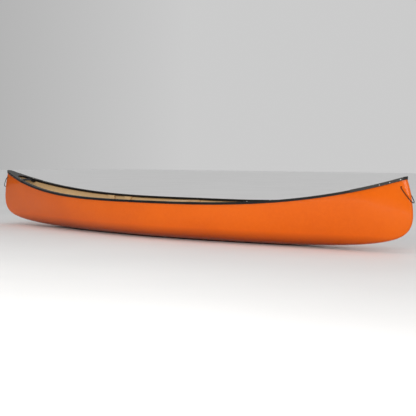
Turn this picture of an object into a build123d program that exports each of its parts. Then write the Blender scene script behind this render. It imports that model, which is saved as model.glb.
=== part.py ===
from build123d import *

import os
from functools import cache
from math import atan2, cos, pi, sin, sqrt, tan

os.makedirs("parts", exist_ok=True)

# An open two-seat canoe. Millimetres, +X towards the bow, +Y to port, +Z up.
# The origin is under the middle of the canoe, level with the lowest point of the keel.

# Hull form
hull_length = 5181.0
hull_beam = 872.0
depth_midship = 358.0
depth_ends = 611.0
sheer_exponent = 3.17
plan_exponent = 1.82
plan_overrun = 20.0
tip_rake = 55.0
rake_exponent = 1.4
keel_exponent = 3.8
forefoot_exponent = 4.8
stem_widest_height = 380.0
stem_radius = 12.0
stem_lean = 1.0
lean_exponent = 5.0
fullness_midship = 4.0
fullness_ends = 1.1
fullness_exponent = 1.3

# Hull sheet: an orange shell of skin and foam, lined with a thin tan skin
shell_thickness = 5.5
lining_thickness = 1.5

# Gunwales: one black extrusion a side, slotted over the hull's edge
gunwale_height = 21.0
gunwale_cap = 3.0
gunwale_outer_width = 10.3
gunwale_inner_width = 26.0
slot_clearance = 0.5
gunwale_end_gap = 60.0
gunwale_rivet_pitch = 260.0
gunwale_rivet_end_gap = 60.0

# Deck plates
deck_wall = 2.5
deck_skirt = 22.0
deck_arm_length = 420.0
deck_side_length = 228.0
deck_centre_length = 203.0
deck_nose_overhang = 8.0
deck_nose_start = 14.0
deck_clearance = 0.4
deck_rivet_places = (30.0, 110.0, 190.0)

# Rivets and bolts
rivet_radius = 2.0
rivet_head_radius = 4.5
rivet_head_height = 1.6
rivet_drop = 12.0
rivet_hole_play = 0.1
rivet_tail = 3.0
rivet_hole_extra = 1.0
bolt_radius = 3.0
bolt_hole_play = 0.3
bolt_head_radius = 6.5
bolt_head_height = 3.2
bolt_inset = 27.0
bolt_tail = 3.0
head_gap = 0.05
nut_flange_radius = 7.0
nut_flange_height = 1.5
nut_width = 10.0
nut_height = 5.0
thread_play = 0.05

# Cross members
carry_handle_from_tip = 330.0
carry_handle_width = 30.0
carry_handle_waist = 24.0
carry_handle_thickness = 15.0
carry_handle_rise = 18.0
carry_handle_level = 44.0
carry_handle_foot_margin = 10.0
yoke_thickness = 20.0
yoke_end_width = 62.0
yoke_waist_width = 52.0
yoke_waist_share = 0.72
yoke_forward_hollow = 6.0
yoke_shoulder_width = 96.0
yoke_shoulder_place = 165.0
yoke_neck_radius = 62.0
yoke_neck_depth = 46.0
thwart_place = -640.0
thwart_thickness = 19.0
thwart_end_width = 58.0
thwart_waist = 38.0
member_gap = 0.2
wall_gap = 3.0

# Seats
bow_seat_place = 1030.0
stern_seat_place = -1290.0
seat_rail_spacing = 220.0
seat_rail_width = 38.0
seat_rail_thickness = 20.0
bow_seat_height = 262.0
stern_seat_height = 280.0
seat_side_rail_width = 34.0
bow_seat_side_spacing = 400.0
stern_seat_side_spacing = 360.0
webbing_thickness = 3.0
hanger_top_width = 96.0
hanger_foot_width = 50.0
hanger_inner_cover = 13.0
seat_rail_rounding = 4.0

# Grab loops
loop_from_tip = 28.0
loop_below_sheer = 68.0
rope_diameter = 8.0
rope_hole_play = 1.0
knot_radius = 8.0
knot_length = 13.0
knot_face = 20.0
knot_rounding = 4.0
bow_loop_droop = 50.0
stern_loop_droop = 54.0
bow_loop_reach = 146.0
stern_loop_reach = 160.0

half_length = hull_length / 2
tip_x = half_length - tip_rake
sheet_thickness = shell_thickness + lining_thickness
topside_rise = 60.0
stem_top = depth_ends + 10.0
keel_stations = 16
stem_stations = 3
section_points = 10
slope_step = 0.001
edge_steps = 24
cut_margin = 10.0
cutter_reach = 600.0
cutter_ceiling = depth_ends + 300.0
sheer_overrun = 120.0


def save(piece, name):
    """Label a finished piece and write it to its own file."""
    piece.part.label = name
    export_step(piece.part, f"parts/{name}.step")


# ---------------------------------------------------------------- hull form


def sheer_height(x):
    """Height of the gunwale's top edge at x."""
    return depth_midship + (depth_ends - depth_midship) * abs(x / tip_x) ** sheer_exponent


def plan_half(x):
    """Half-breadth of the topside's upper edge, without the stem's rounding."""
    spread = 1 - abs(x / (tip_x + plan_overrun)) ** plan_exponent
    return (hull_beam / 2 - stem_radius) * max(spread, 0.0)


def profile_point(q):
    """Centre line of the bow half: q is 0 at midship, 1 where the stem is fullest, 2 at its top."""
    if q <= 1:
        turn = pi / 2 * q ** (keel_exponent / 2)
        x = half_length * sin(turn) ** (2 / keel_exponent)
        z = stem_widest_height * (1 - max(cos(turn), 0.0) ** (2 / forefoot_exponent))
        return x, z
    z = stem_widest_height + (stem_top - stem_widest_height) * (q - 1)
    share = (z - stem_widest_height) / (depth_ends - stem_widest_height)
    return half_length - tip_rake * share**rake_exponent, z


@cache
def station(q):
    """A section plane's foot, slope of the profile there, lean, reach to the top and shape."""
    x, z = profile_point(q)
    before = profile_point(max(q - slope_step, 0.0))
    after = profile_point(q + slope_step)
    slope = atan2(after[1] - before[1], after[0] - before[0]) if q > 0 else 0.0
    lean = atan2(stem_lean * (x / half_length if q < 1 else 1.0) ** lean_exponent, 1.0)
    reach = depth_midship
    for _ in range(20):
        reach = (sheer_height(x - sin(lean) * reach) + topside_rise - z) / cos(lean)
    half = plan_half(x - sin(lean) * reach)
    fullness = fullness_midship
    fullness += (fullness_ends - fullness_midship) * min(x / half_length, 1.0) ** fullness_exponent
    return x, z, slope, lean, reach, half, fullness


def section_half(q, depth, up):
    """Half-breadth of the surface lying depth inside the hull, at a distance up the section plane."""
    _, _, slope, lean, reach, half, fullness = station(q)
    foot = depth / cos(slope - lean)
    climb = min(max((up - foot) / (reach - foot), 0.0), 1.0)
    radius = stem_radius - depth
    rounding = min(max((up - foot) / radius, 0.0), 1.0)
    return half * (1 - (1 - climb) ** fullness) ** (1 / fullness) + radius * sqrt(1 - (1 - rounding) ** 2)


def hull_half(x, z):
    """Half-breadth of the hull's outer surface at (x, z)."""
    low, high = 0.0, 2.0
    for _ in range(40):
        middle = (low + high) / 2
        foot_x, foot_z, _, lean = station(middle)[:4]
        if foot_x - tan(lean) * (z - foot_z) < abs(x):
            low = middle
        else:
            high = middle
    foot_x, foot_z, _, lean = station(low)[:4]
    return section_half(low, 0.0, (z - foot_z) / cos(lean))


def rail_half(x):
    """Half-breadth of the hull's outer surface at its upper edge."""
    return hull_half(x, sheer_height(x) - gunwale_cap)


def section_curve(q, depth):
    """Port-to-starboard points of one section, as (across, up), and their spline parameters."""
    _, _, slope, lean, reach, _, fullness = station(q)
    foot = depth / cos(slope - lean)
    turns = [pi / 2 * (k / section_points) ** 1.3 for k in range(section_points + 1)]
    side = []
    for turn in turns:
        share = 1 - max(cos(turn), 0.0) ** (2 / fullness) if turn < turns[-1] else 1.0
        up = foot + (reach - foot) * share
        side.append((section_half(q, depth, up), up))
    points = [(-across, up) for across, up in reversed(side[1:])] + side
    parameters = [-turn for turn in reversed(turns[1:])] + turns
    return points, parameters


def hull_layer(outer_depth, inner_depth):
    """One layer of the hull sheet, lofted through sections that fan out along the stems."""
    bow = [k / keel_stations for k in range(keel_stations + 1)]
    bow += [1 + k / stem_stations for k in range(1, stem_stations + 1)]
    with BuildPart() as layer:
        for q, end in [(q, -1) for q in reversed(bow[1:])] + [(q, 1) for q in bow]:
            x, z, _, lean = station(q)[:4]
            outer, parameters = section_curve(q, outer_depth)
            inner, _ = section_curve(q, inner_depth)
            plane = Plane(origin=(end * x, 0, z), x_dir=(0, 1, 0), z_dir=(cos(lean), 0, end * sin(lean)))
            with BuildSketch(plane):
                with BuildLine():
                    add(Edge.make_spline(outer, parameters=parameters))
                    add(Edge.make_spline(inner, parameters=parameters))
                    Line(outer[0], inner[0])
                    Line(outer[-1], inner[-1])
                make_face()
        loft()
        add(above_sheer(gunwale_cap + slot_clearance), mode=Mode.SUBTRACT)
        for end in (-1, 1):
            with Locations((end * loop_x, 0, loop_z)):
                Cylinder(rope_hole_radius, hull_beam, rotation=(90, 0, 0), mode=Mode.SUBTRACT)
        add(rivet_holes, mode=Mode.SUBTRACT)
    return layer


# ---------------------------------------------------------------- bands that follow the sheer


def sheer_line(drop):
    """Points along the sheer from beyond the stern to beyond the bow, lowered by drop."""
    reach = tip_x + sheer_overrun
    return [(reach * k / 16, sheer_height(reach * k / 16) - drop) for k in range(-16, 17)]


def above_sheer(drop):
    """Everything above the sheer line lowered by drop."""
    line = sheer_line(drop)
    with BuildPart() as space:
        with BuildSketch(Plane.XZ):
            with BuildLine():
                Spline(line)
                Polyline(line[-1], (line[-1][0], cutter_ceiling), (line[0][0], cutter_ceiling), line[0])
            make_face()
        extrude(amount=cutter_reach, both=True)
    return space.part


def sheer_band(top_drop, bottom_drop):
    """A layer that follows the sheer, between two drops below it."""
    top, bottom = sheer_line(top_drop), sheer_line(bottom_drop)
    with BuildPart() as band:
        with BuildSketch(Plane.XZ):
            with BuildLine():
                Spline(top)
                Spline(bottom)
                Line(top[0], bottom[0])
                Line(top[-1], bottom[-1])
            make_face()
        extrude(amount=cutter_reach, both=True)
    return band.part


def below_sheer(drop):
    """Everything below the sheer line lowered by drop."""
    line = sheer_line(drop)
    with BuildPart() as space:
        with BuildSketch(Plane.XZ):
            with BuildLine():
                Spline(line)
                Polyline(line[-1], (line[-1][0], -cut_margin), (line[0][0], -cut_margin), line[0])
            make_face()
        extrude(amount=cutter_reach, both=True)
    return space.part


# ---------------------------------------------------------------- fasteners

gunwale_outer = slot_clearance + gunwale_outer_width
gunwale_inner = -(sheet_thickness + slot_clearance + gunwale_inner_width)
loop_x = tip_x - loop_from_tip
loop_z = sheer_height(loop_x) - loop_below_sheer
rope_hole_radius = rope_diameter / 2 + rope_hole_play
gunwale_end = tip_x - gunwale_end_gap
deck_outer = gunwale_outer + deck_clearance + deck_wall

gunwale_rivet_span = tip_x - deck_arm_length - gunwale_rivet_end_gap
gunwale_rivet_steps = round(2 * gunwale_rivet_span / gunwale_rivet_pitch)
gunwale_rivet_xs = [
    gunwale_rivet_span * (2 * (k + 0.5) / gunwale_rivet_steps - 1) for k in range(gunwale_rivet_steps)
]
deck_rivet_xs = [tip_x - place for place in deck_rivet_places]


def rail_swing(x):
    """Angle in plan between the hull's upper edge and the centre line at x."""
    return atan2(rail_half(x + 1) - rail_half(x - 1), 2)


def rivet_planes(xs, seat):
    """Planes square to the sides, seat outside the hull, where rivet heads bear at each x."""
    planes = []
    for x in xs:
        swing = rail_swing(x)
        for side in (-1, 1):
            foot = (x, side * (rail_half(x) + seat), sheer_height(x) - rivet_drop)
            along = (cos(swing), side * sin(swing), 0)
            planes.append(Plane(origin=foot, x_dir=along, z_dir=(-sin(swing), side * cos(swing), 0)))
    return planes


def rivet_bars():
    """Bars for every rivet hole."""
    seats = [(gunwale_rivet_xs, gunwale_outer), (deck_rivet_xs + [-x for x in deck_rivet_xs], deck_outer)]
    with BuildPart() as bars:
        for xs, seat in seats:
            for plane in rivet_planes(xs, seat + rivet_hole_extra):
                with Locations(plane.location):
                    Cylinder(
                        rivet_radius + rivet_hole_play,
                        seat + sheet_thickness + rivet_tail + 2 * rivet_hole_extra,
                        align=HANGING,
                    )
    return bars.part


def rivets(xs, seat):
    """Domed rivets whose heads bear on a face standing seat outside the hull."""
    with BuildPart() as group:
        for plane in rivet_planes(xs, seat + head_gap):
            with Locations(plane.location):
                Cone(rivet_head_radius, rivet_head_radius / 2, rivet_head_height, align=STANDING)
                Cylinder(rivet_radius, seat + sheet_thickness + rivet_tail, align=HANGING)
    return group


def sheer_tilt(x):
    """Angle of the sheer line at x."""
    return atan2(sheer_height(x + 1) - sheer_height(x - 1), 2)


def bolt_y(x):
    """Distance of a bolt's axis from the centre line."""
    return rail_half(x) - bolt_inset


def bolt_planes(x, lift, tilt):
    """Planes on the gunwales' tops at x where a pair of bolts stands."""
    foot = sheer_height(x) + lift
    up = (-sin(tilt), 0, cos(tilt))
    ahead = (cos(tilt), 0, sin(tilt))
    return [Plane(origin=(x, side * bolt_y(x), foot), x_dir=ahead, z_dir=up) for side in (-1, 1)]


def bolts(planes, grip):
    """Pan-head bolts that hang down from the given planes."""
    shank = grip + nut_flange_height + nut_height + bolt_tail
    with BuildPart() as group:
        for plane in planes:
            with Locations(plane.location):
                Cylinder(bolt_head_radius, bolt_head_height / 2, align=STANDING)
                Cylinder(bolt_radius, shank, align=HANGING)
            with Locations(plane.offset(bolt_head_height / 2).location):
                Cone(bolt_head_radius, bolt_head_radius / 2, bolt_head_height / 2, align=STANDING)
    return group


def nuts(planes, grip):
    """Flanged nuts on the bolts, below whatever the bolts clamp."""
    with BuildPart() as group:
        for plane in planes:
            with Locations(plane.offset(-grip).location):
                Cylinder(nut_flange_radius, nut_flange_height, align=HANGING)
            with BuildSketch(plane.offset(-grip - nut_flange_height)):
                RegularPolygon(nut_width / 2, 6, major_radius=False)
            extrude(amount=-nut_height)
            with Locations(plane.offset(-grip).location):
                Cylinder(bolt_radius + thread_play, 3 * (nut_flange_height + nut_height), mode=Mode.SUBTRACT)
    return group


def bolt_bars():
    """Bars for every bolt hole."""
    with BuildPart() as bars:
        for planes, grip in bolt_groups.values():
            for plane in planes:
                with Locations(plane.offset(2 * bolt_head_height).location):
                    Cylinder(bolt_radius + bolt_hole_play, grip + 4 * bolt_head_height, align=HANGING)
    return bars.part


STANDING = (Align.CENTER, Align.CENTER, Align.MIN)
HANGING = (Align.CENTER, Align.CENTER, Align.MAX)

handle_x = tip_x - carry_handle_from_tip
deck_lift = deck_wall + member_gap
under_gunwale = gunwale_height + member_gap
handle_tilt = sheer_tilt(handle_x)
thwart_tilt = sheer_tilt(thwart_place)
handle_lift = deck_lift + head_gap
handle_grip = handle_lift + under_gunwale + carry_handle_thickness + head_gap

# Each seat: its place, its height and the spacing of its side rails
seats = {
    "bow_seat": (bow_seat_place, bow_seat_height, bow_seat_side_spacing),
    "stern_seat": (stern_seat_place, stern_seat_height, stern_seat_side_spacing),
}

# Each group of bolts: the planes their heads stand on, and the depth they clamp
bolt_groups = {
    "bow_carry_handle": (bolt_planes(handle_x, handle_lift, handle_tilt), handle_grip),
    "stern_carry_handle": (bolt_planes(-handle_x, handle_lift, -handle_tilt), handle_grip),
    "yoke": (
        bolt_planes(0.0, head_gap, 0.0),
        under_gunwale + yoke_thickness + 2 * head_gap,
    ),
    "stern_thwart": (
        bolt_planes(thwart_place, head_gap, thwart_tilt),
        under_gunwale + thwart_thickness + 2 * head_gap,
    ),
}
for seat, (place, height, _) in seats.items():
    for corner, sign in (("aft", -1), ("forward", 1)):
        x = place + sign * seat_rail_spacing / 2
        lift = bolt_head_radius * tan(abs(sheer_tilt(x))) + head_gap
        grip = sheer_height(x) + lift - (height - seat_rail_thickness) + head_gap
        bolt_groups[f"{seat}_{corner}"] = (bolt_planes(x, lift, 0.0), grip)

bolt_holes = bolt_bars()
rivet_holes = rivet_bars()


# ---------------------------------------------------------------- hull

hull_shell = hull_layer(0.0, shell_thickness)
save(hull_shell, "hull_shell")

hull_lining = hull_layer(shell_thickness, sheet_thickness)
save(hull_lining, "hull_lining")


# ---------------------------------------------------------------- gunwales


def edge_xs(start, end):
    """Evenly spaced stations from start to end."""
    return [start + (end - start) * k / edge_steps for k in range(edge_steps + 1)]


def edge_points(offset, start, end, side=1):
    """Points in plan along the hull's upper edge, moved outwards by offset."""
    return [(x, side * (rail_half(x) + offset)) for x in edge_xs(start, end)]


def slot_points(start, end):
    """Points in plan along the inner and the outer wall of the port gunwale's slot."""
    near, far = [], []
    for x in edge_xs(start, end):
        halves = [hull_half(x, sheer_height(x) - drop) for drop in (gunwale_cap, gunwale_height)]
        near.append((x, min(halves) - sheet_thickness - slot_clearance))
        far.append((x, max(halves) + slot_clearance))
    return near, far


def edge_strip(near, far):
    """An upright prism over the strip between two lines in plan."""
    with BuildPart() as strip:
        with BuildSketch(Plane.XY):
            with BuildLine():
                Spline(near)
                Spline(far)
                Line(near[0], far[0])
                Line(near[-1], far[-1])
            make_face()
        extrude(amount=cutter_ceiling)
    return strip


slot = edge_strip(*slot_points(-gunwale_end - cut_margin, gunwale_end + cut_margin))
with slot:
    add(below_sheer(gunwale_cap), mode=Mode.INTERSECT)

port_gunwale = edge_strip(
    edge_points(gunwale_inner, -gunwale_end, gunwale_end),
    edge_points(gunwale_outer, -gunwale_end, gunwale_end),
)
with port_gunwale:
    add(sheer_band(0.0, gunwale_height), mode=Mode.INTERSECT)
    add(slot.part, mode=Mode.SUBTRACT)
    add(rivet_holes, mode=Mode.SUBTRACT)
    add(bolt_holes, mode=Mode.SUBTRACT)
save(port_gunwale, "port_gunwale")

with BuildPart() as starboard_gunwale:
    mirror(port_gunwale.part, about=Plane.XZ)
save(starboard_gunwale, "starboard_gunwale")

gunwale_rivets = rivets(gunwale_rivet_xs, gunwale_outer)
save(gunwale_rivets, "gunwale_rivets")


# ---------------------------------------------------------------- deck plates


def deck_prism(offset, start, nose):
    """An upright prism over the bow's end in plan, with a rounded nose."""
    shoulder = tip_x - deck_nose_start
    port = edge_points(offset, start, shoulder)
    starboard = edge_points(offset, start, shoulder, side=-1)
    with BuildPart() as prism:
        with BuildSketch(Plane.XY):
            with BuildLine():
                Spline(port)
                Spline(starboard)
                ThreePointArc(port[-1], (tip_x + nose, 0), starboard[-1])
                Line(port[0], starboard[0])
            make_face()
        extrude(amount=cutter_ceiling)
    return prism


def deck_opening():
    """The space inboard of the deck plate, between its arms."""
    start, side_end = tip_x - deck_arm_length - cut_margin, tip_x - deck_side_length
    port = edge_points(gunwale_inner, start, side_end)
    starboard = edge_points(gunwale_inner, start, side_end, side=-1)
    with BuildPart() as opening:
        with BuildSketch(Plane.XY):
            with BuildLine():
                Spline(port)
                Spline(starboard)
                ThreePointArc(port[-1], (tip_x - deck_centre_length, 0), starboard[-1])
                Line(port[0], starboard[0])
            make_face()
        extrude(amount=cutter_ceiling)
    return opening.part


deck_hollow = deck_prism(
    gunwale_outer + deck_clearance,
    tip_x - deck_arm_length - cut_margin,
    deck_nose_overhang - deck_wall,
)
with deck_hollow:
    add(below_sheer(-member_gap), mode=Mode.INTERSECT)

bow_deck_plate = deck_prism(deck_outer, tip_x - deck_arm_length, deck_nose_overhang)
with bow_deck_plate:
    add(sheer_band(-deck_lift, deck_skirt), mode=Mode.INTERSECT)
    add(deck_hollow.part, mode=Mode.SUBTRACT)
    add(deck_opening(), mode=Mode.SUBTRACT)
    add(rivet_holes, mode=Mode.SUBTRACT)
    add(bolt_holes, mode=Mode.SUBTRACT)
save(bow_deck_plate, "bow_deck_plate")

with BuildPart() as stern_deck_plate:
    mirror(bow_deck_plate.part, about=Plane.YZ)
save(stern_deck_plate, "stern_deck_plate")

bow_deck_rivets = rivets(deck_rivet_xs, deck_outer)
save(bow_deck_rivets, "bow_deck_rivets")

stern_deck_rivets = rivets([-x for x in deck_rivet_xs], deck_outer)
save(stern_deck_rivets, "stern_deck_rivets")


# ---------------------------------------------------------------- cross members


def member_half(x, thickness, widest):
    """Half-length of a bar across the canoe under the gunwales, clear of the hull's lining."""
    bottom = sheer_height(x) - under_gunwale - thickness
    halves = [hull_half(abs(x) + offset, bottom) for offset in (-widest, widest)]
    return min(halves) - sheet_thickness - wall_gap


def cross_member(x, thickness, forward_edge, aft_edge, band=None):
    """A bar across the canoe under the gunwales; each edge is (share of half length, offset) points."""
    half = member_half(x, thickness, max(offset for _, offset in forward_edge))
    forward = [(x + offset, share * half) for share, offset in forward_edge]
    aft = [(x + offset, share * half) for share, offset in aft_edge]
    forward = forward + [(px, -py) for px, py in reversed(forward[:-1])]
    aft = aft + [(px, -py) for px, py in reversed(aft[:-1])]
    with BuildPart() as member:
        with BuildSketch(Plane.XY):
            with BuildLine():
                Spline(forward)
                Spline(aft)
                Line(forward[0], aft[0])
                Line(forward[-1], aft[-1])
            make_face()
        extrude(amount=cutter_ceiling)
        add(band or sheer_band(under_gunwale, under_gunwale + thickness), mode=Mode.INTERSECT)
        add(bolt_holes, mode=Mode.SUBTRACT)
    return member


def opposite(edge):
    """The same edge on the other side of the bar."""
    return [(share, -offset) for share, offset in edge]


def arched_band(x, tilt):
    """The side view of a carry handle: flat feet under the gunwales and a grip raised between them."""
    end = member_half(x, carry_handle_thickness, carry_handle_width / 2)
    foot = bolt_y(x) - carry_handle_foot_margin
    with BuildPart() as band:
        ahead = (cos(tilt), 0, sin(tilt))
        with BuildSketch(Plane(origin=(x, 0, sheer_height(x)), x_dir=(0, 1, 0), z_dir=ahead)):
            with BuildLine():
                for low in (-under_gunwale, -under_gunwale - carry_handle_thickness):
                    high = low + carry_handle_rise
                    Line((end, low), (foot, low))
                    Spline((foot, low), (carry_handle_level, high), tangents=[(-1, 0), (-1, 0)])
                    Line((carry_handle_level, high), (-carry_handle_level, high))
                    Spline((-carry_handle_level, high), (-foot, low), tangents=[(-1, 0), (-1, 0)])
                    Line((-foot, low), (-end, low))
                for side in (-end, end):
                    Line((side, -under_gunwale), (side, -under_gunwale - carry_handle_thickness))
            make_face()
        extrude(amount=carry_handle_width, both=True)
    return band.part


handle_edge = [
    (1.0, carry_handle_width / 2),
    (0.5, 0.2 * carry_handle_width / 2 + 0.8 * carry_handle_waist / 2),
    (0.0, carry_handle_waist / 2),
]
for end, sign in (("bow", 1), ("stern", -1)):
    name = f"{end}_carry_handle"
    x = sign * handle_x
    arch = arched_band(x, sign * handle_tilt)
    save(cross_member(x, carry_handle_thickness, handle_edge, opposite(handle_edge), arch), name)
    save(bolts(*bolt_groups[name]), f"{name}_bolts")
    save(nuts(*bolt_groups[name]), f"{name}_nuts")

yoke_half = rail_half(0.0)
yoke_forward = [
    (1.0, yoke_end_width / 2),
    (yoke_waist_share, yoke_waist_width / 2),
    (yoke_shoulder_place / yoke_half, yoke_shoulder_width / 2),
    (0.0, yoke_shoulder_width / 2 - yoke_forward_hollow),
]
yoke_aft = [
    (1.0, -yoke_end_width / 2),
    (yoke_waist_share, -yoke_waist_width / 2),
    (yoke_shoulder_place / yoke_half, -yoke_shoulder_width / 2),
    (yoke_neck_radius / yoke_half, -yoke_shoulder_width / 2 + yoke_neck_depth / 2),
    (0.0, -yoke_shoulder_width / 2 + yoke_neck_depth),
]
centre_yoke = cross_member(0.0, yoke_thickness, yoke_forward, yoke_aft)
save(centre_yoke, "centre_yoke")
save(bolts(*bolt_groups["yoke"]), "yoke_bolts")
save(nuts(*bolt_groups["yoke"]), "yoke_nuts")

thwart_edge = [
    (1.0, thwart_end_width / 2),
    (0.55, 0.2 * thwart_end_width / 2 + 0.8 * thwart_waist / 2),
    (0.0, thwart_waist / 2),
]
stern_thwart = cross_member(thwart_place, thwart_thickness, thwart_edge, opposite(thwart_edge))
save(stern_thwart, "stern_thwart")
save(bolts(*bolt_groups["stern_thwart"]), "stern_thwart_bolts")
save(nuts(*bolt_groups["stern_thwart"]), "stern_thwart_nuts")


# ---------------------------------------------------------------- seats


def wall_half(x, half_width, z):
    """How far out a piece may reach at height z over the width x plus or minus half_width."""
    clear = sheet_thickness + wall_gap
    return min(hull_half(x - half_width, z), hull_half(x + half_width, z)) - clear


def seat_rail(x, height):
    """One of a seat's two rails, from wall to wall."""
    middle = height - seat_rail_thickness / 2
    reach = wall_half(x, seat_rail_width / 2, height - seat_rail_thickness)
    with BuildPart() as rail:
        with BuildSketch(Plane(origin=(x, 0, middle), x_dir=(1, 0, 0), z_dir=(0, -1, 0))):
            RectangleRounded(seat_rail_width, seat_rail_thickness, seat_rail_rounding)
        extrude(amount=reach, both=True)
        add(bolt_holes, mode=Mode.SUBTRACT)
    return rail


def seat_side_rail(place, y, height):
    """A short rail joining the two seat rails."""
    middle = height - seat_rail_thickness / 2
    length = seat_rail_spacing - seat_rail_width
    with BuildPart() as rail:
        with BuildSketch(Plane(origin=(place - length / 2, y, middle), x_dir=(0, 1, 0), z_dir=(1, 0, 0))):
            RectangleRounded(seat_side_rail_width, seat_rail_thickness, seat_rail_rounding)
        extrude(amount=length)
    return rail


def seat_hanger(x, height, side):
    """A tapered block between the gunwale and the end of a seat rail."""
    swing = rail_swing(x)
    along = (cos(swing), sin(swing), 0)
    top = sheer_height(x) + gunwale_height
    with BuildPart() as hanger:
        for z, width in ((height, hanger_foot_width), (top, hanger_top_width)):
            wall_z = min(z, sheer_height(x) - gunwale_height)
            outer = (hull_half(x, wall_z) - sheet_thickness - wall_gap - bolt_y(x)) * cos(swing)
            with BuildSketch(Plane(origin=(x, bolt_y(x), z), x_dir=along, z_dir=(0, 0, 1))):
                with Locations((0, (outer - hanger_inner_cover) / 2)):
                    Rectangle(width, outer + hanger_inner_cover)
        loft()
        add(above_sheer(under_gunwale), mode=Mode.SUBTRACT)
        add(bolt_holes, mode=Mode.SUBTRACT)
    if side > 0:
        return hanger
    with BuildPart() as mirrored:
        mirror(hanger.part, about=Plane.XZ)
    return mirrored


for seat, (place, height, side_spacing) in seats.items():
    for corner, sign in (("aft", -1), ("forward", 1)):
        x = place + sign * seat_rail_spacing / 2
        save(seat_rail(x, height), f"{seat}_{corner}_rail")
        for side, hand in ((1, "port"), (-1, "starboard")):
            save(seat_hanger(x, height, side), f"{seat}_{corner}_{hand}_hanger")
    for side, hand in ((1, "port"), (-1, "starboard")):
        save(seat_side_rail(place, side * side_spacing / 2, height), f"{seat}_{hand}_side_rail")
    with BuildPart() as webbing:
        with BuildSketch(Plane.XY.offset(height)):
            with Locations((place, 0)):
                RectangleRounded(
                    seat_rail_spacing + seat_rail_width,
                    side_spacing + seat_side_rail_width,
                    seat_rail_rounding,
                )
        extrude(amount=webbing_thickness)
    save(webbing, f"{seat}_webbing")
    with BuildPart() as seat_bolts:
        for corner in ("aft", "forward"):
            add(bolts(*bolt_groups[f"{seat}_{corner}"]).part)
    save(seat_bolts, f"{seat}_bolts")
    with BuildPart() as seat_nuts:
        for corner in ("aft", "forward"):
            add(nuts(*bolt_groups[f"{seat}_{corner}"]).part)
    save(seat_nuts, f"{seat}_nuts")


# ---------------------------------------------------------------- grab loops


def corner_radii(points):
    """The largest arc each corner of a cord's route allows."""
    radii = []
    for before, corner, after in zip(points, points[1:], points[2:]):
        run_in, run_out = Vector(*corner) - Vector(*before), Vector(*after) - Vector(*corner)
        turn = run_in.get_angle(run_out)
        radii.append(0.45 * min(run_in.length, run_out.length) / tan(turn / 2 * pi / 180))
    return radii


# Half of a loop, from the knot inside the port side to the front of the bend, as (across, out)
loop_half = [(20, 0), (41, 0), (51, 17), (49, 42), (45, 71), (39, 101), (31, 127), (21, 150)]


def grab_loop(end, droop, reach):
    """A rope through the two stem holes that hangs round the stem, and its stopper knots."""
    stretch = reach / stern_loop_reach
    half = [(across, out * stretch) for across, out in loop_half]
    route = half + [(0, reach)] + [(-across, out) for across, out in reversed(half)]
    angle = droop * pi / 180
    points = [
        (end * (loop_x + out * cos(angle)), across, loop_z - out * sin(angle)) for across, out in route
    ]
    radii = corner_radii(points)
    print("grab loop radii", [round(radius, 1) for radius in radii])
    with BuildPart() as rope:
        with BuildLine() as path:
            FilletPolyline(*points, radius=radii)
        with BuildSketch(Plane(origin=points[0], x_dir=(1, 0, 0), z_dir=(0, 1, 0))):
            Circle(rope_diameter / 2)
        sweep(path=path.wires()[0])
    print("grab loop length", round(path.wires()[0].length, 1), "volume", round(rope.part.volume))
    with BuildPart() as knots:
        for side in (-1, 1):
            with Locations((end * loop_x, side * (knot_face - knot_length / 2), loop_z)):
                Cylinder(knot_radius, knot_length, rotation=(90, 0, 0))
        fillet(knots.edges().filter_by(GeomType.CIRCLE), knot_rounding)
    return rope, knots


for end, sign, droop, reach in (
    ("bow", 1, bow_loop_droop, bow_loop_reach),
    ("stern", -1, stern_loop_droop, stern_loop_reach),
):
    rope, knots = grab_loop(sign, droop, reach)
    save(rope, f"{end}_grab_loop")
    save(knots, f"{end}_grab_loop_knots")
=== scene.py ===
from math import cos, pi, radians, sin

import bmesh
import bpy
from mathutils import Matrix, Vector


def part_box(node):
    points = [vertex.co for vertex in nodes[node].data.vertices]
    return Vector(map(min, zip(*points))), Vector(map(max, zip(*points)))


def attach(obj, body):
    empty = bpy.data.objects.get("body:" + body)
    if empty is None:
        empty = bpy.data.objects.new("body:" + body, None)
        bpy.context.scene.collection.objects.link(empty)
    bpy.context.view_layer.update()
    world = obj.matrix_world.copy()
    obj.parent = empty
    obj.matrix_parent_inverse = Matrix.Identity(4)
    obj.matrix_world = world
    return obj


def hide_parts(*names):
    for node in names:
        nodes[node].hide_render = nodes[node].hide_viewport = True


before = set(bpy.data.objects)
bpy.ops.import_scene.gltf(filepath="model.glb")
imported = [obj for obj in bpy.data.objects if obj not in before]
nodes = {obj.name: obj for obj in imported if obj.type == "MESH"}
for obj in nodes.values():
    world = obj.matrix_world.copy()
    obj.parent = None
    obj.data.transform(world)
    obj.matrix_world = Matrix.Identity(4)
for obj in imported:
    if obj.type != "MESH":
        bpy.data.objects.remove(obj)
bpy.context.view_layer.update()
scene = bpy.context.scene

# ---------------------------------------------------------------- camera

CAMERA_PLACE = Vector((-5.797, 6.327, 0.709))
CAMERA_YAW = radians(40.01)
CAMERA_PITCH = radians(-2.92)
CAMERA_ROLL = radians(0.364)
CAMERA_LENS = 75.9
CAMERA_SENSOR = 36.0

ahead = Vector((
    sin(CAMERA_YAW) * cos(CAMERA_PITCH),
    -cos(CAMERA_YAW) * cos(CAMERA_PITCH),
    sin(CAMERA_PITCH),
))
level_right = Vector((-cos(CAMERA_YAW), -sin(CAMERA_YAW), 0))
level_up = level_right.cross(ahead)
right = level_right * cos(CAMERA_ROLL) + level_up * sin(CAMERA_ROLL)
up = level_up * cos(CAMERA_ROLL) - level_right * sin(CAMERA_ROLL)

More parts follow.
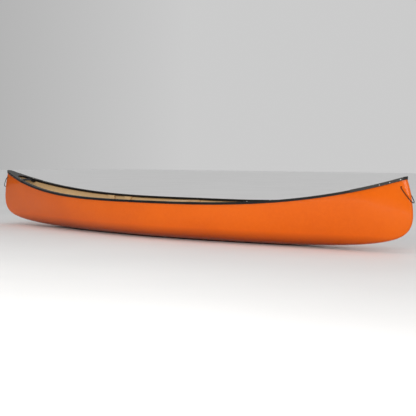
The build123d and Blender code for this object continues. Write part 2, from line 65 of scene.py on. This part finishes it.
camera_data = bpy.data.cameras.new("camera")
camera_data.lens = CAMERA_LENS
camera_data.sensor_width = CAMERA_SENSOR
camera = bpy.data.objects.new("camera", camera_data)
scene.collection.objects.link(camera)
camera_turn = Matrix((right, up, -ahead)).transposed().to_4x4()
camera.matrix_world = Matrix.Translation(CAMERA_PLACE) @ camera_turn
scene.camera = camera
scene.view_settings.view_transform = "Standard"


# ---------------------------------------------------------------- material tools

# Heights on the hull, in metres
SCRATCHED_BELOW = 0.16
# Painted shade: the hull's colour darkens below the first of these two heights and is darkest
# below the second
PAINTED_SHADE_BELOW = 0.13
PAINTED_SHADE_DARKEST_BELOW = 0.01
PORE_DARKNESS = 0.55


class Shader:
    """A material's node tree, with short ways to add the nodes used below."""

    def __init__(self, name, roughness=0.5, metallic=0.0, coat=0.0, sheen=0.0, specular=0.5):
        self.material = bpy.data.materials.new(name)
        self.material.use_nodes = True
        self.tree = self.material.node_tree
        self.surface = self.tree.nodes["Principled BSDF"]
        self.surface.inputs["Roughness"].default_value = roughness
        self.surface.inputs["Metallic"].default_value = metallic
        self.surface.inputs["Coat Weight"].default_value = coat
        self.surface.inputs["Sheen Weight"].default_value = sheen
        self.surface.inputs["Specular IOR Level"].default_value = specular
        self.place = self.tree.nodes.new("ShaderNodeTexCoord").outputs["Object"]

    def node(self, kind, **inputs):
        """A new node with the named inputs set or linked."""
        node = self.tree.nodes.new(kind)
        for key, value in inputs.items():
            self.put(node.inputs[key.replace("_", " ")], value)
        return node

    def put(self, socket, value):
        """Links a socket to another, or sets its value."""
        if isinstance(value, bpy.types.NodeSocket):
            self.tree.links.new(value, socket)
        else:
            socket.default_value = value

    def stretched(self, scale):
        return self.node("ShaderNodeMapping", Vector=self.place, Scale=scale).outputs["Vector"]

    def noise(self, scale, detail=4.0, rough=0.5, distortion=0.0, vector=None):
        node = self.node("ShaderNodeTexNoise", Vector=vector or self.place, Scale=scale)
        node.inputs["Detail"].default_value = detail
        node.inputs["Roughness"].default_value = rough
        node.inputs["Distortion"].default_value = distortion
        return node.outputs["Fac"]

    def ramp(self, factor, low, high, start=0.0, end=1.0):
        node = self.node("ShaderNodeMapRange", Value=factor)
        node.inputs["From Min"].default_value = low
        node.inputs["From Max"].default_value = high
        node.inputs["To Min"].default_value = start
        node.inputs["To Max"].default_value = end
        return node.outputs["Result"]

    def maths(self, operation, a, b):
        node = self.tree.nodes.new("ShaderNodeMath")
        node.operation = operation
        self.put(node.inputs[0], a)
        self.put(node.inputs[1], b)
        return node.outputs["Value"]

    def mix(self, factor, a, b):
        node = self.tree.nodes.new("ShaderNodeMix")
        node.data_type = "RGBA"
        self.put(node.inputs["Factor"], factor)
        self.put(node.inputs["A"], a)
        self.put(node.inputs["B"], b)
        return node.outputs["Result"]

    def colour(self, value):
        self.put(self.surface.inputs["Base Color"], value)

    def bump(self, height, distance, strength=1.0, below=None):
        node = self.node("ShaderNodeBump", Height=height)
        node.inputs["Distance"].default_value = distance
        node.inputs["Strength"].default_value = strength
        if below is not None:
            self.put(node.inputs["Normal"], below)
        self.put(self.surface.inputs["Normal"], node.outputs["Normal"])
        return node.outputs["Normal"]


def moulded_hull():
    """Glossy orange skin, mottled and scratched, with painted shade darkening it low down."""
    shader = Shader("orange_hull_skin", coat=0.36, specular=0.05)
    shader.surface.inputs["Coat Roughness"].default_value = 0.06
    broad = shader.ramp(shader.noise(1.3, 3.0), 0.35, 0.65)
    mottle = shader.ramp(shader.noise(34.0, 5.0, 0.6), 0.35, 0.7)
    base = shader.mix(broad, (0.80, 0.135, 0.002, 1), (0.73, 0.116, 0.002, 1))
    base = shader.mix(shader.maths("MULTIPLY", mottle, 0.35), base, (0.82, 0.15, 0.004, 1))
    scratch_lines = shader.noise(1.0, 5.0, 0.65, vector=shader.stretched((2.5, 90.0, 240.0)))
    height = shader.node("ShaderNodeSeparateXYZ", Vector=shader.place).outputs["Z"]
    scratches = shader.ramp(scratch_lines, 0.62, 0.72)
    worn = shader.maths("MULTIPLY", scratches, shader.ramp(height, SCRATCHED_BELOW, 0.0))
    worn = shader.maths("MULTIPLY", worn, 0.55)
    patches = shader.ramp(mottle, 0.0, 1.0, 0.72, 0.92)
    # Painted shade: the hull's base colour is darkened towards the keel, made slightly patchy by
    # the mottle
    painted_shade = shader.maths("MULTIPLY", shader.ramp(height, PAINTED_SHADE_BELOW, PAINTED_SHADE_DARKEST_BELOW), patches)
    base = shader.mix(painted_shade, base, (0.20, 0.022, 0.003, 1))
    shader.colour(shader.mix(worn, base, (0.60, 0.22, 0.09, 1)))
    rough = shader.ramp(mottle, 0.0, 1.0, 0.30, 0.40)
    shader.put(shader.surface.inputs["Roughness"], shader.maths("ADD", rough, worn))
    peel = shader.bump(shader.noise(260.0, 3.0, 0.5), 0.00012, 0.5)
    shader.bump(shader.noise(9.0, 2.0, 0.4), 0.0012, 0.35, below=peel)
    return shader.material


def pebbled_plastic(name, light, dark, roughness, grain, depth, specular=0.4):
    """Moulded plastic between two shades, with pebbles grain to the metre and depth high."""
    shader = Shader(name, roughness=roughness, specular=specular)
    cloud = shader.ramp(shader.noise(5.0, 4.0), 0.3, 0.7)
    speck = shader.ramp(shader.noise(grain * 0.5, 3.0), 0.3, 0.7)
    base = shader.mix(cloud, dark, light)
    shader.colour(shader.mix(shader.maths("MULTIPLY", speck, 0.4), base, light))
    shader.put(
        shader.surface.inputs["Roughness"],
        shader.ramp(speck, 0.0, 1.0, roughness - 0.06, roughness + 0.06),
    )
    cells = shader.node("ShaderNodeTexVoronoi", Vector=shader.place, Scale=grain)
    cells.feature = "SMOOTH_F1"
    pebble = shader.bump(cells.outputs["Distance"], depth, 0.6)
    shader.bump(shader.noise(grain * 2.2, 2.0), depth * 0.5, 0.4, below=pebble)
    return shader.material


def extruded_vinyl():
    """Black vinyl with fine lines drawn lengthwise."""
    shader = Shader("black_vinyl", roughness=0.38, specular=0.25)
    lines = shader.noise(1.0, 3.0, vector=shader.stretched((1.5, 700.0, 700.0)))
    cloud = shader.ramp(shader.noise(8.0, 4.0), 0.35, 0.7)
    shader.colour(shader.mix(cloud, (0.005, 0.005, 0.005, 1), (0.011, 0.011, 0.010, 1)))
    shader.put(shader.surface.inputs["Roughness"], shader.ramp(lines, 0.3, 0.7, 0.36, 0.52))
    drawn = shader.bump(lines, 0.00008, 0.6)
    shader.bump(shader.noise(500.0, 2.0), 0.00006, 0.4, below=drawn)
    return shader.material


def ash(name, along):
    """Varnished ash; along marks the axis that its grain follows."""
    shader = Shader(name, coat=0.35)
    shader.surface.inputs["Coat Roughness"].default_value = 0.2
    grain = shader.stretched(tuple(6.0 if axis else 95.0 for axis in along))
    bands = shader.noise(1.0, 4.0, 0.55, 0.6, vector=grain)
    fine = shader.stretched(tuple(22.0 if axis else 1300.0 for axis in along))
    pores = shader.noise(1.0, 3.0, 0.6, vector=fine)
    cloud = shader.noise(4.0, 2.0)
    base = shader.mix(shader.ramp(bands, 0.38, 0.62), (0.74, 0.52, 0.28, 1), (0.58, 0.36, 0.17, 1))
    base = shader.mix(shader.ramp(cloud, 0.35, 0.7, 0.0, 0.5), base, (0.78, 0.57, 0.33, 1))
    pore = shader.ramp(pores, 0.60, 0.72, 0.0, PORE_DARKNESS)
    shader.colour(shader.mix(pore, base, (0.34, 0.18, 0.07, 1)))
    shader.put(shader.surface.inputs["Roughness"], shader.ramp(bands, 0.3, 0.7, 0.34, 0.5))
    ridge = shader.bump(pores, 0.00012, 0.5)
    shader.bump(bands, 0.0002, 0.3, below=ridge)
    return shader.material


def woven_nylon():
    """Dark nylon strap with a fine square weave."""
    shader = Shader("woven_nylon", roughness=0.62, sheen=0.35)
    shader.surface.inputs["Sheen Roughness"].default_value = 0.4
    warp = shader.node("ShaderNodeTexWave", Vector=shader.place, Scale=190.0, Distortion=0.6)
    warp.bands_direction = "X"
    weft = shader.node("ShaderNodeTexWave", Vector=shader.place, Scale=190.0, Distortion=0.6)
    weft.bands_direction = "Y"
    weave = shader.maths("MULTIPLY", warp.outputs["Fac"], weft.outputs["Fac"])
    fade = shader.ramp(shader.noise(14.0, 4.0), 0.35, 0.7)
    dark = shader.mix(fade, (0.016, 0.016, 0.018, 1), (0.034, 0.033, 0.034, 1))
    shader.colour(shader.mix(shader.maths("MULTIPLY", weave, 0.5), dark, (0.07, 0.07, 0.072, 1)))
    fuzz = shader.bump(shader.noise(900.0, 2.0), 0.0001, 0.5)
    shader.bump(weave, 0.0003, 0.8, below=fuzz)
    return shader.material


def twisted_rope():
    """Black fibres, a little faded in places."""
    shader = Shader("twisted_rope", roughness=0.7, sheen=0.05, specular=0.12)
    fibres = shader.noise(1500.0, 3.0, 0.6)
    fade = shader.ramp(shader.noise(60.0, 4.0), 0.3, 0.7)
    dark = shader.mix(fade, (0.006, 0.006, 0.006, 1), (0.014, 0.013, 0.013, 1))
    worn = shader.ramp(fibres, 0.55, 0.75, 0.0, 0.6)
    shader.colour(shader.mix(worn, dark, (0.03, 0.028, 0.027, 1)))
    shader.bump(fibres, 0.00025, 0.7)
    return shader.material


def stainless():
    """Brushed steel with faint stains."""
    shader = Shader("stainless_steel", metallic=1.0)
    brushed = shader.noise(1.0, 3.0, vector=shader.stretched((260.0, 2400.0, 2400.0)))
    stain = shader.ramp(shader.noise(70.0, 4.0), 0.4, 0.75)
    shader.colour(shader.mix(stain, (0.62, 0.61, 0.59, 1), (0.45, 0.43, 0.41, 1)))
    shader.put(shader.surface.inputs["Roughness"], shader.ramp(brushed, 0.3, 0.7, 0.24, 0.42))
    shader.bump(brushed, 0.00005, 0.5)
    return shader.material


hull_skin = moulded_hull()
lining_skin = pebbled_plastic(
    "tan_lining_skin", (0.74, 0.54, 0.30, 1), (0.66, 0.465, 0.245, 1), 0.52, 420.0, 0.00016
)
vinyl = extruded_vinyl()
deck_plastic = pebbled_plastic(
    "grained_black_plastic",
    (0.016, 0.014, 0.012, 1),
    (0.009, 0.008, 0.007, 1),
    0.44,
    700.0,
    0.0001,
    0.45,
)
handle_plastic = pebbled_plastic(
    "handle_plastic", (0.016, 0.016, 0.016, 1), (0.009, 0.009, 0.009, 1), 0.45, 900.0, 0.0001, 0.3
)
ash_across = ash("ash_grain_across", (0, 1, 0))
ash_lengthwise = ash("ash_grain_lengthwise", (1, 0, 0))
ash_upright = ash("ash_grain_upright", (0, 0, 1))
webbing_nylon = woven_nylon()
rope_fibre = twisted_rope()
steel = stainless()


def finish_for(name):
    """The material of a CAD node."""
    if name == "hull_shell":
        return hull_skin
    if name == "hull_lining":
        return lining_skin
    if name == "gunwale_rivets":
        return vinyl
    if name.endswith(("_rivets", "_bolts", "_nuts")):
        return steel
    if name.endswith("_gunwale"):
        return vinyl
    if name.endswith("_deck_plate"):
        return deck_plastic
    if name.endswith("_carry_handle"):
        return handle_plastic
    if name.endswith("_hanger"):
        return ash_upright
    if name.endswith("_side_rail"):
        return ash_lengthwise
    return ash_across


# Width of the rounding on a CAD node's edges, by the ending of its name
ROUNDED = {
    "_gunwale": 0.0016,
    "_deck_plate": 0.0009,
    "_carry_handle": 0.004,
    "_hanger": 0.0025,
    "centre_yoke": 0.006,
    "stern_thwart": 0.006,
}

ROUNDED_ABOVE = radians(40)

for name, node in nodes.items():
    node.data.materials.clear()
    node.data.materials.append(finish_for(name))
    for ending, width in ROUNDED.items():
        if name.endswith(ending):
            bevel = node.modifiers.new("rounded edges", "BEVEL")
            bevel.width = width
            bevel.segments = 3
            bevel.limit_method = "ANGLE"
            bevel.angle_limit = ROUNDED_ABOVE
            bevel.harden_normals = True


# ---------------------------------------------------------------- mesh tools


def new_piece(name, bm, material, body):
    """A smooth-shaded mesh piece that rides on a body."""
    mesh = bpy.data.meshes.new(name)
    bmesh.ops.recalc_face_normals(bm, faces=bm.faces)
    bm.to_mesh(mesh)
    bm.free()
    for polygon in mesh.polygons:
        polygon.use_smooth = True
    mesh.materials.append(material)
    piece = bpy.data.objects.new(name, mesh)
    scene.collection.objects.link(piece)
    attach(piece, body)
    return piece


def add_tube(bm, rings):
    """Joins closed rings of points into a tube with capped ends."""
    rows = [[bm.verts.new(point) for point in ring] for ring in rings]
    for row, following in zip(rows, rows[1:]):
        for k in range(len(row)):
            after = (k + 1) % len(row)
            bm.faces.new((row[k], row[after], following[after], following[k]))
    bm.faces.new(list(reversed(rows[0])))
    bm.faces.new(rows[-1])


# ---------------------------------------------------------------- seat webbing

STRAP_WIDTH = 0.038
STRAP_THICKNESS = 0.0013
STRAP_PITCH = 0.043
STRAP_CLEARANCE = 0.0004
WRAP_UNDER = 0.024
RAIL_WIDTH = 0.038
SIDE_RAIL_WIDTH = 0.034
RAIL_THICKNESS = 0.020
RAIL_ROUNDING = 0.004


def strap_section(across, width, thickness):
    """Rounded flat section: (offset across the strap, offset through it)."""
    half, deep = width / 2, thickness / 2
    edge = 0.6 * deep
    return [
        (across - half, 0),
        (across - half + edge, -deep),
        (across + half - edge, -deep),
        (across + half, 0),
        (across + half - edge, deep),
        (across - half + edge, deep),
    ]


def wrapped_route(outer, crossings, sign, span):
    """(distance along, height) of a strap from under one rail, over the weave and under the other.

    outer is where the rails' outer faces stand, crossings are the places it crosses the other
    straps, sign is 1 where it starts over the first, and span is the stretch left for the weave.
    """
    gap = STRAP_THICKNESS / 2 + STRAP_CLEARANCE
    rise = STRAP_THICKNESS / 2 + 0.0001
    middle = gap + rise
    end = [
        (outer - WRAP_UNDER, -RAIL_THICKNESS - gap),
        (outer - RAIL_ROUNDING, -RAIL_THICKNESS - gap),
        (outer + gap * 0.75, -RAIL_THICKNESS + RAIL_ROUNDING * 0.2),
        (outer + gap, -RAIL_THICKNESS + RAIL_ROUNDING),
        (outer + gap, -RAIL_ROUNDING),
        (outer + gap * 0.75, -RAIL_ROUNDING * 0.2),
        (outer - RAIL_ROUNDING, gap),
        (span + 0.006, gap),
    ]
    weave = []
    steps = 8 * len(crossings)
    for k in range(steps + 1):
        place = -span + 2 * span * k / steps
        phase = (place - crossings[0]) / STRAP_PITCH
        weave.append((place, middle + sign * rise * cos(pi * phase)))
    start = [(-along, height) for along, height in end]
    return start + weave + list(reversed(end))


def strap(bm, route, across, plane):
    """One strap along a route; plane turns (along, across, height) into a point."""
    rings = []
    for k, (along, height) in enumerate(route):
        before, after = route[max(k - 1, 0)], route[min(k + 1, len(route) - 1)]
        run = Vector((after[0] - before[0], after[1] - before[1])).normalized()
        rings.append([
            plane(along - run.y * through, sideways, height + run.x * through)
            for sideways, through in strap_section(across, STRAP_WIDTH, STRAP_THICKNESS)
        ])
    add_tube(bm, rings)


def woven_seat(seat):
    """Straps woven over a seat's rails, in place of the plain sheet."""
    low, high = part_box(f"{seat}_webbing")
    foot = Vector(((low.x + high.x) / 2, (low.y + high.y) / 2, low.z))
    half_x, half_y = (high.x - low.x) / 2, (high.y - low.y) / 2
    open_x, open_y = half_x - RAIL_WIDTH, half_y - SIDE_RAIL_WIDTH
    lengthwise = int(2 * open_y / STRAP_PITCH)
    crosswise = int(2 * open_x / STRAP_PITCH)
    ys = [(k - (lengthwise - 1) / 2) * STRAP_PITCH for k in range(lengthwise)]
    xs = [(k - (crosswise - 1) / 2) * STRAP_PITCH for k in range(crosswise)]
    bm = bmesh.new()
    for k, y in enumerate(ys):
        route = wrapped_route(half_x, xs, 1 if k % 2 == 0 else -1, open_x)
        strap(bm, route, y, lambda a, b, h: foot + Vector((a, b, h)))
    for k, x in enumerate(xs):
        route = wrapped_route(half_y, ys, -1 if k % 2 == 0 else 1, open_y)
        strap(bm, route, x, lambda a, b, h: foot + Vector((b, a, h)))
    piece = new_piece(f"{seat}_straps", bm, webbing_nylon, "canoe")
    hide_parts(f"{seat}_webbing")


for seat in ("bow_seat", "stern_seat"):
    woven_seat(seat)


# ---------------------------------------------------------------- grab loops

ROPE_DIAMETER = 0.008
ROPE_LAY = 0.030
ROPE_STEP = 0.0012
STRANDS = 3
STRAND_SHARE = 0.47
STRAND_SIDES = 8
KNOT_ROPE = 0.0058
KNOT_LAY = 0.022
KNOT_INSET = 0.0031
KNOT_FACE_GAP = 0.0029
KNOT_RUN = 0.0068
KNOT_TURNS = 2.1
KNOT_STEPS = 60
# The bow's stem holes, as (x, z); the stern's mirror them
LOOP_PLACE = (2.5075, 0.53425)
BOW_LOOP = {"end": 1, "droop": 50.0, "reach": 0.146, "body": "bow_grab_loop"}
STERN_LOOP = {"end": -1, "droop": 54.0, "reach": 0.160, "body": "stern_grab_loop"}
FULL_REACH = 0.160
# Half of a loop, from the knot inside the port side to the front of the bend, as (across, out)
LOOP_HALF = [
    (0.020, 0),
    (0.041, 0),
    (0.051, 0.017),
    (0.049, 0.042),
    (0.045, 0.071),
    (0.039, 0.101),
    (0.031, 0.127),
    (0.021, 0.150),
]


def smooth_line(name, points):
    """The points of a NURBS curve whose control points are given."""
    curve = bpy.data.curves.new(name, "CURVE")
    curve.dimensions = "3D"
    curve.resolution_u = 16
    spline = curve.splines.new("NURBS")
    spline.points.add(len(points) - 1)
    for control, point in zip(spline.points, points):
        control.co = (*point, 1)
    spline.order_u = 3
    spline.use_endpoint_u = True
    carrier = bpy.data.objects.new(name, curve)
    scene.collection.objects.link(carrier)
    bpy.context.view_layer.update()
    evaluated = carrier.evaluated_get(bpy.context.evaluated_depsgraph_get())
    mesh = bpy.data.meshes.new_from_object(evaluated)
    line = [vertex.co.copy() for vertex in mesh.vertices]
    bpy.data.objects.remove(carrier)
    bpy.data.curves.remove(curve)
    bpy.data.meshes.remove(mesh)
    return line


def evenly(line, spacing):
    """The same line with points about the given distance apart."""
    lengths = [0.0]
    for a, b in zip(line, line[1:]):
        lengths.append(lengths[-1] + (b - a).length)
    count = max(int(lengths[-1] / spacing), 8)
    points, k = [], 0
    for step in range(count + 1):
        target = lengths[-1] * step / count
        while k < len(line) - 2 and lengths[k + 1] < target:
            k += 1
        share = (target - lengths[k]) / max(lengths[k + 1] - lengths[k], 1e-9)
        points.append(line[k].lerp(line[k + 1], min(max(share, 0), 1)))
    return points


def laid_rope(bm, line, diameter, lay):
    """Strands twisted round a line."""
    strand = diameter / 2 * STRAND_SHARE
    offset = diameter / 2 - strand
    tangents = []
    for k in range(len(line)):
        tangents.append((line[min(k + 1, len(line) - 1)] - line[max(k - 1, 0)]).normalized())
    side = tangents[0].orthogonal().normalized()
    frames = []
    travelled = 0.0
    for k, tangent in enumerate(tangents):
        side = (side - tangent * side.dot(tangent)).normalized()
        frames.append((side.copy(), tangent.cross(side), travelled))
        if k + 1 < len(line):
            travelled += (line[k + 1] - line[k]).length
    for strand_index in range(STRANDS):
        rings = []
        for point, (first, second, distance) in zip(line, frames):
            turn = 2 * pi * (distance / lay + strand_index / STRANDS)
            middle = point + (first * cos(turn) + second * sin(turn)) * offset
            ring = []
            for corner in range(STRAND_SIDES):
                angle = 2 * pi * corner / STRAND_SIDES
                ring.append(middle + (first * cos(angle) + second * sin(angle)) * strand)
            rings.append(ring)
        add_tube(bm, rings)


def grab_loop(end, droop, reach, body):
    """A laid rope through the two stem holes, and the stopper knots inside."""
    stretch = reach / FULL_REACH
    half = [(across, out * stretch) for across, out in LOOP_HALF]
    route = half + [(0, reach)] + [(-across, out) for across, out in reversed(half)]
    angle = radians(droop)
    hole_x, hole_z = LOOP_PLACE
    controls = [
        Vector((end * (hole_x + out * cos(angle)), across, hole_z - out * sin(angle)))
        for across, out in route
    ]
    line = evenly(smooth_line(f"{body}_line", controls), ROPE_STEP)
    bm = bmesh.new()
    laid_rope(bm, line, ROPE_DIAMETER, ROPE_LAY)
    rope = new_piece(f"{body}_rope", bm, rope_fibre, body)
    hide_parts(body)

    low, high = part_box(f"{body}_knots")
    radius = (high.x - low.x) / 2
    centre = (low + high) / 2
    bm = bmesh.new()
    for side in (-1, 1):
        turns = []
        for k in range(KNOT_STEPS + 1):
            angle = 2 * pi * KNOT_TURNS * k / KNOT_STEPS
            along = high.y - KNOT_FACE_GAP - KNOT_RUN * k / KNOT_STEPS
            wrap = radius - KNOT_INSET
            x, z = centre.x + wrap * cos(angle), centre.z + wrap * sin(angle)
            turns.append(Vector((x, side * along, z)))
        laid_rope(bm, turns, KNOT_ROPE, KNOT_LAY)
    knots = new_piece(f"{body}_stopper_knots", bm, rope_fibre, body)
    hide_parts(f"{body}_knots")


grab_loop(**BOW_LOOP)
grab_loop(**STERN_LOOP)


# ---------------------------------------------------------------- floor and light

FLOOR_REACH = 60.0

floor_shader = Shader("pale_floor", roughness=0.65)
drift = floor_shader.ramp(floor_shader.noise(0.6, 3.0), 0.3, 0.7)
floor_shader.colour(floor_shader.mix(drift, (0.76, 0.76, 0.76, 1), (0.72, 0.72, 0.72, 1)))
floor_shader.bump(floor_shader.noise(120.0, 2.0), 0.0002, 0.2)
floor_mesh = bpy.data.meshes.new("floor")
floor_mesh.from_pydata(
    [(x * FLOOR_REACH, y * FLOOR_REACH, 0) for x, y in ((-1, -1), (1, -1), (1, 1), (-1, 1))],
    [],
    [(0, 1, 2, 3)],
)
floor_mesh.materials.append(floor_shader.material)
floor = bpy.data.objects.new("floor", floor_mesh)
scene.collection.objects.link(floor)

world = bpy.data.worlds.new("studio")
world.use_nodes = True
sky_nodes, sky_links = world.node_tree.nodes, world.node_tree.links
sky_place = sky_nodes.new("ShaderNodeTexCoord")
sky_shade = sky_nodes.new("ShaderNodeVectorMath")
sky_shade.operation = "DOT_PRODUCT"
sky_shade.inputs[1].default_value = (0.6, 0.8, 0)
sky_range = sky_nodes.new("ShaderNodeMapRange")
sky_links.new(sky_place.outputs["Generated"], sky_shade.inputs[0])
sky_links.new(sky_shade.outputs["Value"], sky_range.inputs["Value"])
sky_links.new(sky_range.outputs["Result"], sky_nodes["Background"].inputs["Strength"])
sky_range.inputs["From Min"].default_value = -0.2
sky_range.inputs["From Max"].default_value = 0.6
sky_range.inputs["To Min"].default_value = 0.60
sky_range.inputs["To Max"].default_value = 0.05
sky_nodes["Background"].inputs["Color"].default_value = (1, 1, 1, 1)
scene.world = world


def soft_light(name, place, target, size, power, colour=(1, 1, 1)):
    """A rectangular studio light aimed at a point."""
    data = bpy.data.lights.new(name, "AREA")
    data.shape = "RECTANGLE"
    data.size, data.size_y = size
    data.energy = power
    data.color = colour
    light = bpy.data.objects.new(name, data)
    scene.collection.objects.link(light)
    light.location = place
    light.rotation_euler = (Vector(target) - Vector(place)).to_track_quat("-Z", "Y").to_euler()


WARM = (1.0, 0.98, 0.95)

soft_light("key", (-3.9, 6.2, 2.3), (-0.7, 0, 0.3), (6.5, 1.2), 225, WARM)
soft_light("stern", (-4.1, 5.5, 1.25), (-2.5, 0, 0.45), (0.28, 2.4), 24)
soft_light("middle", (0.5, 5.2, 2.3), (0.5, 0, 0.3), (2.4, 1.2), 48, WARM)

ceiling_data = bpy.data.lights.new("ceiling", "SUN")
ceiling_data.energy = 0.95
ceiling_data.angle = radians(60)
ceiling = bpy.data.objects.new("ceiling", ceiling_data)
scene.collection.objects.link(ceiling)
ceiling.rotation_euler = (radians(-12), 0, 0)
